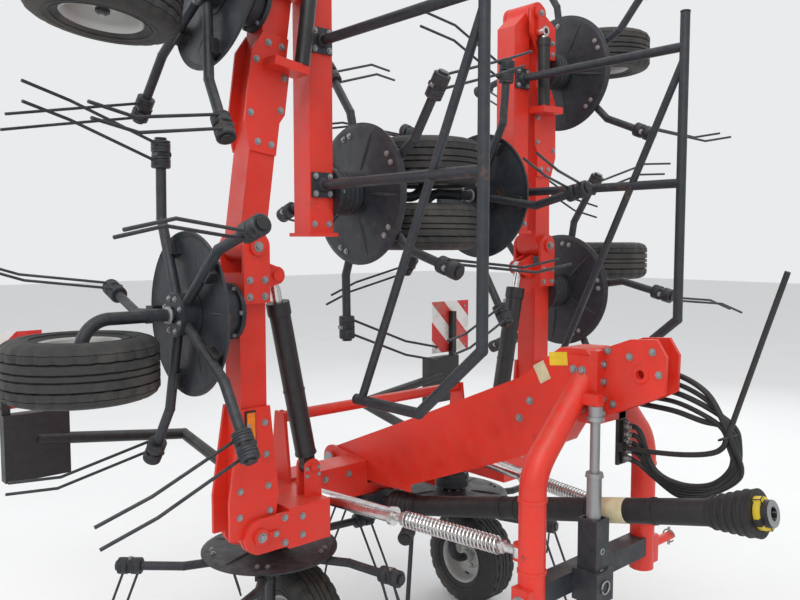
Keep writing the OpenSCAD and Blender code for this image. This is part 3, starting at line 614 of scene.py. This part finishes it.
def unit_detail(k, side):
    base = rotor_frame(k, side)
    top = 65.0 if k == 1 else 45.0
    bm = bmesh.new()
    for i in range(6):
        a = math.radians(60 * i + 30)
        at = base @ Vector((COVER_R * math.cos(a), COVER_R * math.sin(a), -top - 14.0))
        bolt(bm, at, base.to_3x3() @ Vector((0, 0, -1)), 5.5, 1)
    for z in (-90, -110, -130):
        lathe(bm, [(71, z + 5), (75, z + 2.5), (75, z - 2.5), (71, z - 5)], base, 48, True, 0)
    lathe(bm, [(18, -246), (24.0, -247), (25.5, -250), (24.0, -256), (18, -257)], base, 32, True, 1)
    lathe(bm, [(17.5, -300), (20.5, -301), (20.5, -318), (17.5, -319)], base, 28, True, 0)
    # Nut on the axle's end
    axis = base.to_3x3() @ Vector((OUT[side], 0, 0))
    prism(bm, 11, 9, facing(axis, base @ Vector((OUT[side] * AXLE_END, 0, -DROP))), 6, 1.2, 1)
    o = to_object("gearbox_fittings_%d%s" % (k, side), bm, [DARK, STEEL])
    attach(o, BODY[k][side])


for s in SIDES:
    for k in ROTORS:
        unit_detail(k, s)

# Wing fittings. A fork's cheek and its pin's end lie this far from the section's middle
FORK_Y, PIN_Y = 74, 84
CYL_FOOT_X, CYL_FOOT_UP, CYL_ACROSS, CYL_RISE = 470, 165, 130.0, 635.0


def bolts(bm, place, y, spots, r):
    """Steel bolts on the front (y > 0) or the back of a section, at their (x, z) spots."""
    for x, z in spots:
        bolt(bm, place @ Vector((x, y, z)), (0, 1 if y > 0 else -1, 0), r, 1)


def four(x0, x1, z):
    return (x0, z), (x0, -z), (x1, z), (x1, -z)


def hinge_fittings(side):
    """Main hinge pin's ends, its keeper plates and the fork's bolts, on the centre frame."""
    place = wing(side)
    bm = bmesh.new()
    for y in (-1, 1):
        bolts(bm, place, y * PIN_Y, ((HINGE_X, HINGE_Z),), 11)
        y0, y1 = sorted((y * FORK_Y, y * PIN_Y))
        block(bm, (HINGE_X - 62, y0, HINGE_Z - 9), (HINGE_X - 20, y1, HINGE_Z + 9), place, 0, 1.5)
        bolts(bm, place, y * 83.5, ((HINGE_X - 50, HINGE_Z),), 7)
        bolts(bm, place, y * FORK_Y, ((612, HINGE_Z + 40), (612, HINGE_Z - 40)), 8)
        bolts(bm, place, FORK_Y if y > 0 else -310, ((545, HINGE_Z + 30), (545, HINGE_Z - 30)), 8)
    o = to_object("hinge_fittings_" + side, bm, [RED, STEEL])
    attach(o, "frame")


def inner_fittings(side):
    place = frame_a(side)
    bm = bmesh.new()
    for y in (-1, 1):
        bolts(bm, place, y * 57, ((70, 44), (70, -62), (150, 40), (150, -58), (250, 34), (250, -44),
                                  (350, 30), (350, -30)), 7.5)
        bolts(bm, place, y * FORK_Y, four(A_LEN - 150, A_LEN - 100, 26), 8)
        bolts(bm, place, y * PIN_Y, ((A_LEN, 0),), 11)
        lathe(bm, [(47, 57), (55, 57), (55, 60), (47, 60)], place @ turn("X", -90 * y), 48, True, 0)
    o = to_object("inner_fittings_" + side, bm, [RED, STEEL])
    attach(o, "inner_" + WORD[side])


def middle_fittings(side):
    place = frame_b(side)
    bm = bmesh.new()
    x3 = ROTOR_X[3]
    for y in (-1, 1):
        bolts(bm, place, y * 53, ((x3 - 420, 24), (x3 - 420, -24), (x3 - 310, 44), (x3 - 210, 44),
                                  (x3 - 340, -58), (x3 - 180, -58), (x3 - 120, 24), (x3 - 120, -24)), 7.5)
        bolts(bm, place, y * FORK_Y, four(B_LEN - 150, B_LEN - 105, 24), 8)
        if y < 0:
            lathe(bm, [(24, 74), (38, 74), (36, 77), (24, 77)],
                  place @ move(B_LEN, 0, PIN_UP) @ turn("X", 90), 40, True, 0)
    o = to_object("middle_fittings_" + side, bm, [RED, STEEL])
    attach(o, "middle_" + WORD[side])


def outer_fittings(side):
    """Outer section's bolts, and its guard's clamps and end plugs."""
    place = frame_c(side)
    bm = bmesh.new()
    for y in (-1, 1):
        bolts(bm, place, y * 45, ((C_LEN - 40, 28), (C_LEN - 40, -28)), 7.5)
    for x in (261, 715):
        bolts(bm, place, 53.3, ((x - 28, -28), (x - 28, 28), (x + 28, -28), (x + 28, 28)), 7)
        lathe(bm, [(15.5, 53), (24, 53), (19, 64), (15.5, 66)],
              place @ move(x, 0, 0) @ turn("X", -90), 32, True, 0)
    for p, ax in (((148, 745, 0), (-1, 0, 0)), ((1385, 223, 0), (0, -1, 0))):
        prism(bm, 17, 5, place @ facing(ax, p), 24, 1.5, 2)
    bolts(bm, place, 90, ((0, PIN_UP),), 9)
    o = to_object("outer_fittings_" + side, bm, [DARK, STEEL, PLASTIC])
    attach(o, "middle_" + WORD[side])


def cylinder_fittings(side):
    """Fold cylinder's gland, ports and bands."""
    tilt = math.degrees(math.atan2(CYL_ACROSS, CYL_RISE))
    place = wing(side) @ move(CYL_FOOT_X, 0, HINGE_Z + CYL_FOOT_UP) @ turn("Y", tilt)
    bm = bmesh.new()
    lathe(bm, [(17.6, 560), (27, 560), (30, 556), (30, 548), (17.6, 548)], place, 40, True, 1)
    for z in (70, 505):
        m = place @ move(0, -33, z) @ turn("X", 90)
        lathe(bm, [(0.01, 0), (11, 0), (11, 9), (8, 10), (8, 18), (0.01, 18)], m, 16, False, 1)
    for z in (41, 260, 515):
        lathe(bm, [(33.5, z), (36, z + 1), (36, z + 7), (33.5, z + 8)], place, 44, True, 0)
    o = to_object("fold_cylinder_fittings_" + side, bm, [BLACK, STEEL])
    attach(o, "fold_barrel_" + WORD[side])


for s in SIDES:
    hinge_fittings(s)
    inner_fittings(s)
    middle_fittings(s)
    outer_fittings(s)
    cylinder_fittings(s)

# Boom, headstock and hitch fittings
base = wing("r")
BOOM_X, CHEEK_X = 60.2, 74.2
TOP_Y, TOP_Z, LINK_Y, LINK_Z = 965, 1244, 790, 620


def ride_frame(o):
    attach(o, "frame")


bm = bmesh.new()
for x in (-1, 1):
    ax = (x, 0, 0)
    prism(bm, 33, 7, facing(ax, base @ Vector((x * 85, -400, HINGE_Z + 31))), 6, 2, 1)
    for y, z in ((770, 1130), (800, 1130), (770, 1240), (800, 1240), (600, 1120), (560, 1060)):
        bolt(bm, base @ Vector((x * (CHEEK_X if y > 700 else BOOM_X), y, z)), ax, 9, 1)
    for y, z in ((860, 1300), (930, 1290), (1000, 1310), (1020, 1250), (880, 1150)):
        bolt(bm, base @ Vector((x * 39.2, y, z)), ax, 7.5, 1)
    # Welded doubler at the boom's foot
    x0, x1 = sorted((x * 60, x * 64))
    block(bm, (x0, -60, HINGE_Z - 2), (x1, 60, HINGE_Z + 26), base, 0, 1.5)
    across = turn("Y", 90 * x)
    lathe(bm, [(13.2, 39), (26, 39), (24, 43), (13.2, 43)],
          base @ move(0, TOP_Y, TOP_Z) @ across, 40, True, 0)
    # Shoulder collar and linch pin on the lower hitch pin
    lathe(bm, [(14.2, 330), (27, 330), (25, 336), (14.2, 336)],
          base @ move(0, LINK_Y, LINK_Z) @ across, 40, True, 1)
    tube(bm, [base @ Vector((x * 449, LINK_Y + 21 * math.cos(a), LINK_Z + 21 * math.sin(a)))
              for a in circle(20)[:-1]], 2.6, 8, 1)
    tube(bm, [base @ Vector((x * 449, LINK_Y, LINK_Z + z)) for z in (30, -30)], 4.5, 10, 1)
    for z in (700, 900):
        lathe(bm, [(37.8, z), (41, z + 1), (41, z + 9), (37.8, z + 10)],
              base @ move(x * 280, LINK_Y, 0), 48, True, 0)
for z in (1120, 1160, 1210, 1260):
    for x in (-40, 45):
        bolt(bm, base @ Vector((x, 850, z)), (0, 1, 0), 8, 1)
ride_frame(to_object("headstock_fittings", bm, [RED, STEEL]))

bm = bmesh.new()
for x in (-1, 1):
    for y in (-225, -290):
        for z in (42, -42):
            bolt(bm, base @ Vector((x * 595.2, y, HINGE_Z + z)), (x, 0, 0), 9, 1)
    for out in (150, 260, 370):
        for y, back in ((-190, 1), (-310, -1)):
            bolt(bm, base @ Vector((x * out, y, HINGE_Z + 30)), (0, back, 0), 9, 1)
    for i in range(4):
        a = math.radians(45 + 90 * i)
        at = Vector((x * (CYL_FOOT_X + 17 * math.cos(a) * 1.9), 28, HINGE_Z + 150 + 17 * math.sin(a)))
        bolt(bm, base @ at, (0, 1, 0), 5, 1)
    lathe(bm, [(20, 436), (25, 436), (25, 441), (20, 441)],
          base @ move(0, -200, HINGE_Z + 290) @ turn("Y", 90 * x), 36, True, 0)
ride_frame(to_object("centre_frame_fittings", bm, [RED, STEEL]))


# Reflectors on bevelled holders
def reflector(name, body, place, w, h, mat):
    bm = bmesh.new()
    block(bm, (-w / 2 - 3, -h / 2 - 3, 0), (w / 2 + 3, h / 2 + 3, 4), place, 0, 1.5)
    block(bm, (-w / 2, -h / 2, 3), (w / 2, h / 2, 8), place, 1, 2)
    o = to_object(name, bm, [PLASTIC, mat])
    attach(o, body)


for s in SIDES:
    reflector("side_reflector_" + WORD[s], "inner_" + WORD[s],
              frame_a(s) @ move(345, 57, -22) @ facing((0, 1, 0), (0, 0, 0)), 90, 32, ORANGE)

# Blank stickers, a little bowed and worn at their edges
STICKER_NX, STICKER_NY = 12, 6
SIDE_X = Matrix(((0, 0, 1, 0), (1, 0, 0, 0), (0, 1, 0, 0), (0, 0, 0, 1)))


def sticker(name, body, place, w, h, mat):
    bm = bmesh.new()
    nx, ny = STICKER_NX, STICKER_NY
    grid = []
    for i in range(nx + 1):
        row = []
        for j in range(ny + 1):
            edge = 1 if i in (0, nx) or j in (0, ny) else 0.2
            lift = 0.7 + 0.25 * math.sin(3.1 * i + 1.7 * j) * edge
            row.append(bm.verts.new(place @ Vector((w * (i / nx - 0.5), h * (j / ny - 0.5), lift))))
        grid.append(row)
    for i in range(nx):
        for j in range(ny):
            bm.faces.new((grid[i][j], grid[i + 1][j], grid[i + 1][j + 1], grid[i][j + 1]))
    o = to_object(name, bm, [mat])
    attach(o, body)


def on_boom(y, z, deg):
    """Place on the boom's right side, with local z pointing out of it."""
    return base @ move(BOOM_X, y, z) @ SIDE_X @ turn("Z", deg)


sticker("boom_sticker_right", "frame", on_boom(705, 1262, 6), 66, 40, AMBER)
sticker("boom_sticker_low", "frame", on_boom(645, 1215, 30), 44, 60, LABEL)

# Drive shaft: ribbed guard cones, collars, yellow rings and the open fork at its front
SHAFT_Y0, SHAFT_Z0, SHAFT_Y1, SHAFT_Z1 = -100.0, 600.0, 1316.0, 938.0
GUARD_R, FRONT_R, REAR_R, CONE_L, CONE_RIBS, RIB_STEP = 39, 62, 55, 130, 5, 22
tilt = math.degrees(math.atan2(SHAFT_Z1 - SHAFT_Z0, SHAFT_Y1 - SHAFT_Y0))
length = math.hypot(SHAFT_Y1 - SHAFT_Y0, SHAFT_Z1 - SHAFT_Z0)
shaft = base @ move(0, SHAFT_Y0 + 0.3, SHAFT_Z0) @ turn("X", tilt - 90)
bm = bmesh.new()
for i in range(CONE_RIBS):
    z = length - 150 + i * RIB_STEP
    r = GUARD_R + (FRONT_R - GUARD_R) * (z - length + 165) / CONE_L
    lathe(bm, [(r - 1, z - 5), (r + 3.5, z - 2), (r + 3.5, z + 2), (r - 1, z + 5)], shaft, 48, True, 0)
for i in range(CONE_RIBS):
    z = 30 + i * RIB_STEP
    r = REAR_R - (REAR_R - GUARD_R) * (z - 14) / CONE_L
    lathe(bm, [(r - 1, z - 5), (r + 3, z - 2), (r + 3, z + 2), (r - 1, z + 5)], shaft, 48, True, 0)
for z in (560, 620, 900, 1120):
    lathe(bm, [(35.5, z), (38.5, z + 1), (38.5, z + 11), (35.5, z + 12)], shaft, 44, True, 0)
lathe(bm, [(34, length - 58), (47, length - 56), (48, length - 44), (34, length - 42)],
      shaft, 44, True, 1)
lathe(bm, [(34, length - 34), (41, length - 33), (42, length - 20), (34, length - 18)],
      shaft, 44, True, 1)
for i in range(4):
    m = shaft @ turn("Z", 90 * i + 20)
    block(bm, (33, -9, length - 62), (46, 9, length - 14), m, 1 if i % 2 else 0, 2)
lathe(bm, [(17.6, length - 30), (33.8, length - 30), (33.8, length + 0.4), (29, length + 2.4),
           (19.4, length + 2.4), (17.6, length + 0.4)], shaft, 44, True, 2)
for i in range(6):
    m = shaft @ turn("Z", 60 * i)
    block(bm, (16.2, -2.6, length - 60), (18.2, 2.6, length + 0.6), m, 2, 0.5)
ride_frame(to_object("shaft_fittings", bm, [PLASTIC, YELLOW, STEEL]))
bm = bmesh.new()
lathe(bm, [(36.2, 960), (36.9, 960.5), (36.9, 1040), (36.2, 1040.5)], shaft, 48, True, 0)
ride_frame(to_object("shaft_label", bm, [LABEL]))

# Stabilizers: lock nuts, end nuts and the coil spring on the front rod
STAB_REAR, STAB_FRONT = Vector((400, -160, HINGE_Z + 30)), Vector((250, 724, HINGE_Z + 30))
SPRING_R, SPRING_Z, SPRING_L, SPRING_TURNS, SPRING_STEPS = 23.5, 484, 345, 26, 14
for x in (1, -1):
    bm = bmesh.new()
    a, b = [base @ Vector((x * p.x, p.y, p.z)) for p in (STAB_REAR, STAB_FRONT)]
    m = facing(b - a, a)
    for z in (40, 426):
        lathe(bm, [(13.4, z), (30, z), (30, z + 14), (13.4, z + 14)], m, 36, True, 0)
    steps = SPRING_TURNS * SPRING_STEPS
    pts = []
    for i in range(steps):
        q = 2 * math.pi * i / SPRING_STEPS
        z = SPRING_Z + SPRING_L * i / steps
        pts.append(m @ Vector((SPRING_R * math.cos(q), SPRING_R * math.sin(q), z)))
    tube(bm, pts, 3.6, 6, 0)
    prism(bm, 22, 16, m @ move(0, 0, 470), 6, 2, 0)
    prism(bm, 20, 12, m @ move(0, 0, (b - a).length - 60), 6, 2, 0)
    name = "stabilizer_fittings_" + ("right" if x > 0 else "left")
    ride_frame(to_object(name, bm, [CHROME]))

# Stand: hole rims, a turned-up foot edge with its gussets, and the locking pin with its ring
STAND_X, STAND_Y, LOCK_Z = 95.0, 861.0, 640
GUSSET = ((31, -4, 10), (62, -4, 10), (31, -4, 60), (31, 4, 10), (62, 4, 10), (31, 4, 60))
GUSSET_FACES = ((0, 1, 2), (5, 4, 3), (0, 3, 4, 1), (1, 4, 5, 2), (2, 5, 3, 0))
stand = base @ move(STAND_X, STAND_Y, 0)
bm = bmesh.new()
for z in range(200, 800, 60):
    for y in (-1, 1):
        lathe(bm, [(6, 31.0), (9.5, 31.0), (9.0, 31.9), (6, 31.9)],
              base @ move(STAND_X, STAND_Y, z) @ turn("X", 90 * y), 20, True, 1)
lathe(bm, [(66, 9), (71, 9), (73, 14), (69, 15)], stand, 56, True, 0)
for i in range(4):
    m = stand @ turn("Z", 90 * i)
    verts = [bm.verts.new(m @ Vector(p)) for p in GUSSET]
    for f in GUSSET_FACES:
        bm.faces.new([verts[j] for j in f])
o = to_object("stand_fittings", bm, [DARK, STEEL])
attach(o, "stand")
bm = bmesh.new()
for z in (948, 1108):
    lathe(bm, [(14.4, z), (26, z), (24, z + 12), (14.4, z + 12)], stand, 36, True, 0)
tube(bm, [stand @ Vector((0, y, LOCK_Z)) for y in (38, -34)], 7, 14, 0)
tube(bm, [stand @ Vector((18 * math.cos(a), 44, LOCK_Z + 18 * math.sin(a))) for a in circle(22)],
     2.4, 8, 0)
ride_frame(to_object("stand_pin", bm, [STEEL]))

# Lamps in the light boxes, and the edges and bolts of the boards
LAMP_W, BOARD_MID = 98, 1150
bm = bmesh.new()
for x in (-1, 1):
    for z0, z1, mat in ((752, 820, 1), (828, 896, 2), (904, 972, 1)):
        for lamp in (950, 1060):
            x0, x1 = sorted((x * lamp, x * (lamp + LAMP_W)))
            block(bm, (x0, -941.5, z0), (x1, -936, z1), base, mat, 3)
    x0, x1 = sorted((x * 935, x * 1165))
    for z in (740, 981):
        block(bm, (x0, -940, z), (x1, -934, z + 4), base, 0, 1)
    for dx in (-110, 110):
        for z in (1030, 1250):
            bolt(bm, base @ Vector((x * BOARD_MID + dx, -937.2, z)), (0, 1, 0), 5, 3)
ride_frame(to_object("lamps", bm, [PLASTIC, RED_LENS, ORANGE, STEEL]))

# Hydraulic hoses that loop from the headstock over a holder rod and back, all on the frame
HOSES, HOSE_X, HOSE_Y, PORT_STEP, TOP_PORT, LOW_PORT = 5, -65.0, 858.0, 24.0, 1140, 1068
HOLDER = [(-46, 850, 1008), (-46, 930, 1010), (-46, 1040, 1022), (-46, 1120, 1040), (-46, 1158, 1062),
          (-46, 1174, 1100), (-46, 1210, 1214), (-46, 1260, 1374), (-46, 1311, 1534)]
KNOT = Vector((-72, 1160, 1088))
KNOT_SPREAD = ((-9, 0), (9, 0), (-18, 16), (0, 16), (18, 16))
DROP_WAY = Vector((0, 0.41, -0.91))


def hose(i):
    """One hose: out of its port, through the tie on the rod, down and back to the lower port."""
    r = 7.0 if i % 2 else 8.0
    top = TOP_PORT + PORT_STEP * i
    low = LOW_PORT - PORT_STEP * i
    dx, dn = KNOT_SPREAD[i]
    tie = KNOT + Vector((dx, 0.91 * dn, 0.41 * dn))
    pts = [(HOSE_X, HOSE_Y, top), (HOSE_X, HOSE_Y + 50, top), (HOSE_X - 2, HOSE_Y + 150, top - 4 + 2 * i),
           (0.6 * HOSE_X + 0.4 * tie.x, 1090 + 4 * i, top - 20 - 4 * i),
           tie - 26 * DROP_WAY, tie + 22 * DROP_WAY,
           (-74 - 7 * i, 1172 + 3 * i, 1006 - 6 * i), (-70 - 8 * i, 1120 - 6 * i, 950 - 10 * i),
           (-68 - 8 * i, 1030 - 4 * i, 932 - 11 * i), (-66 - 5 * i, 950 - 2 * i, 960 - 8 * i),
           (HOSE_X - 1, HOSE_Y + 44, low - 8), (HOSE_X, HOSE_Y, low)]
    line = [base @ p for p in spline(pts, 8)]
    bm = bmesh.new()
    tube(bm, line, r, 12, 0)
    o = to_object("hose_%d" % i, bm, [PLASTIC])
    ride_frame(o)


for i in range(HOSES):
    hose(i)

# Holder rod, port plates and the ring that ties the hoses to the rod
bm = bmesh.new()
tube(bm, [base @ p for p in spline(HOLDER, 6)], 7.5, 12, 0)
for lo, hi in (((-80, 840, 952), (-38, 850, 1128)), ((-80, 850, 1124), (-52, 857.5, 1252)),
               ((-80, 850, 956), (-52, 857.5, 1084)), ((-58, 850, 994), (-36, 866, 1022))):
    block(bm, lo, hi, base, 0, 2)
across, out = Vector((1, 0, 0)), Vector((0, 0.91, 0.41))
centre = Vector((-66, 1165, 1090))
ring = [base @ (centre + 37 * math.cos(a) * across + 20 * math.sin(a) * out)
        for a in circle(36) + [2 * math.pi]]
tube(bm, ring, 3.0, 8, 0, False)
ride_frame(to_object("hose_rack", bm, [BLACK]))
bm = bmesh.new()
for i in range(HOSES):
    for z in (TOP_PORT + PORT_STEP * i, LOW_PORT - PORT_STEP * i):
        m = base @ move(HOSE_X, HOSE_Y - 1, z) @ turn("X", -90)
        lathe(bm, [(8.2, 0), (10.5, 0), (10.5, 12), (8.8, 14), (8.8, 26), (8.2, 26)], m, 24, True, 0)
ride_frame(to_object("hose_ends", bm, [STEEL]))


# Floor and backdrop
def stage_material(name, tone):
    m, n, l, b = principled(name)
    tc = n.new("ShaderNodeTexCoord").outputs["Object"]
    stops = [(0.3, [t * 0.97 for t in tone]), (0.7, tone)]
    l.new(ramp(n, l, noise(n, l, tc, 1.5), stops), b.inputs["Base Color"])
    b.inputs["Roughness"].default_value = 0.9
    return m


bm = bmesh.new()
bmesh.ops.create_grid(bm, x_segments=2, y_segments=2, size=30000)
floor = to_object("floor", bm, [stage_material("pale_floor", (0.86, 0.86, 0.85))], False)

world = bpy.data.worlds.new("studio")
bpy.context.scene.world = world
world.use_nodes = True
wn, wl = world.node_tree.nodes, world.node_tree.links
back = wn["Background"]
back.inputs["Color"].default_value = (0.90, 0.92, 0.95, 1)
back.inputs["Strength"].default_value = 0.78
seen = wn.new("ShaderNodeBackground")
seen.inputs["Color"].default_value = (0.82, 0.83, 0.84, 1)
seen.inputs["Strength"].default_value = 1.0
path = wn.new("ShaderNodeLightPath")
pick = wn.new("ShaderNodeMixShader")
either = wn.new("ShaderNodeMath")
either.operation = "MAXIMUM"
wl.new(path.outputs["Is Camera Ray"], either.inputs[0])
wl.new(path.outputs["Is Glossy Ray"], either.inputs[1])
wl.new(either.outputs[0], pick.inputs["Fac"])
wl.new(back.outputs[0], pick.inputs[1])
wl.new(seen.outputs[0], pick.inputs[2])
wl.new(pick.outputs[0], wn["World Output"].inputs["Surface"])


def area(name, at, aim, size, power, colour=(1, 1, 1)):
    d = bpy.data.lights.new(name, "AREA")
    d.shape = "RECTANGLE"
    d.size, d.size_y = size
    d.energy = power
    d.color = colour
    o = bpy.data.objects.new(name, d)
    o.location = at
    o.rotation_mode = "QUATERNION"
    o.rotation_quaternion = (Vector(aim) - Vector(at)).to_track_quat("-Z", "Y")
    bpy.context.scene.collection.objects.link(o)


area("key", (4.6, 3.6, 6.0), (0, 0, 1.3), (4.5, 4.5), 230, (1.0, 0.98, 0.95))
area("fill", (5.0, -4.6, 4.2), (0, 0, 1.2), (5, 4), 70, (0.95, 0.97, 1.0))
area("top", (-1.0, 0.5, 7.5), (0, 0, 1), (6, 6), 110)
area("rear", (-5.2, -2.0, 4.0), (0, 0, 1.5), (4, 4), 70)

scene = bpy.context.scene
scene.view_settings.view_transform = "Standard"
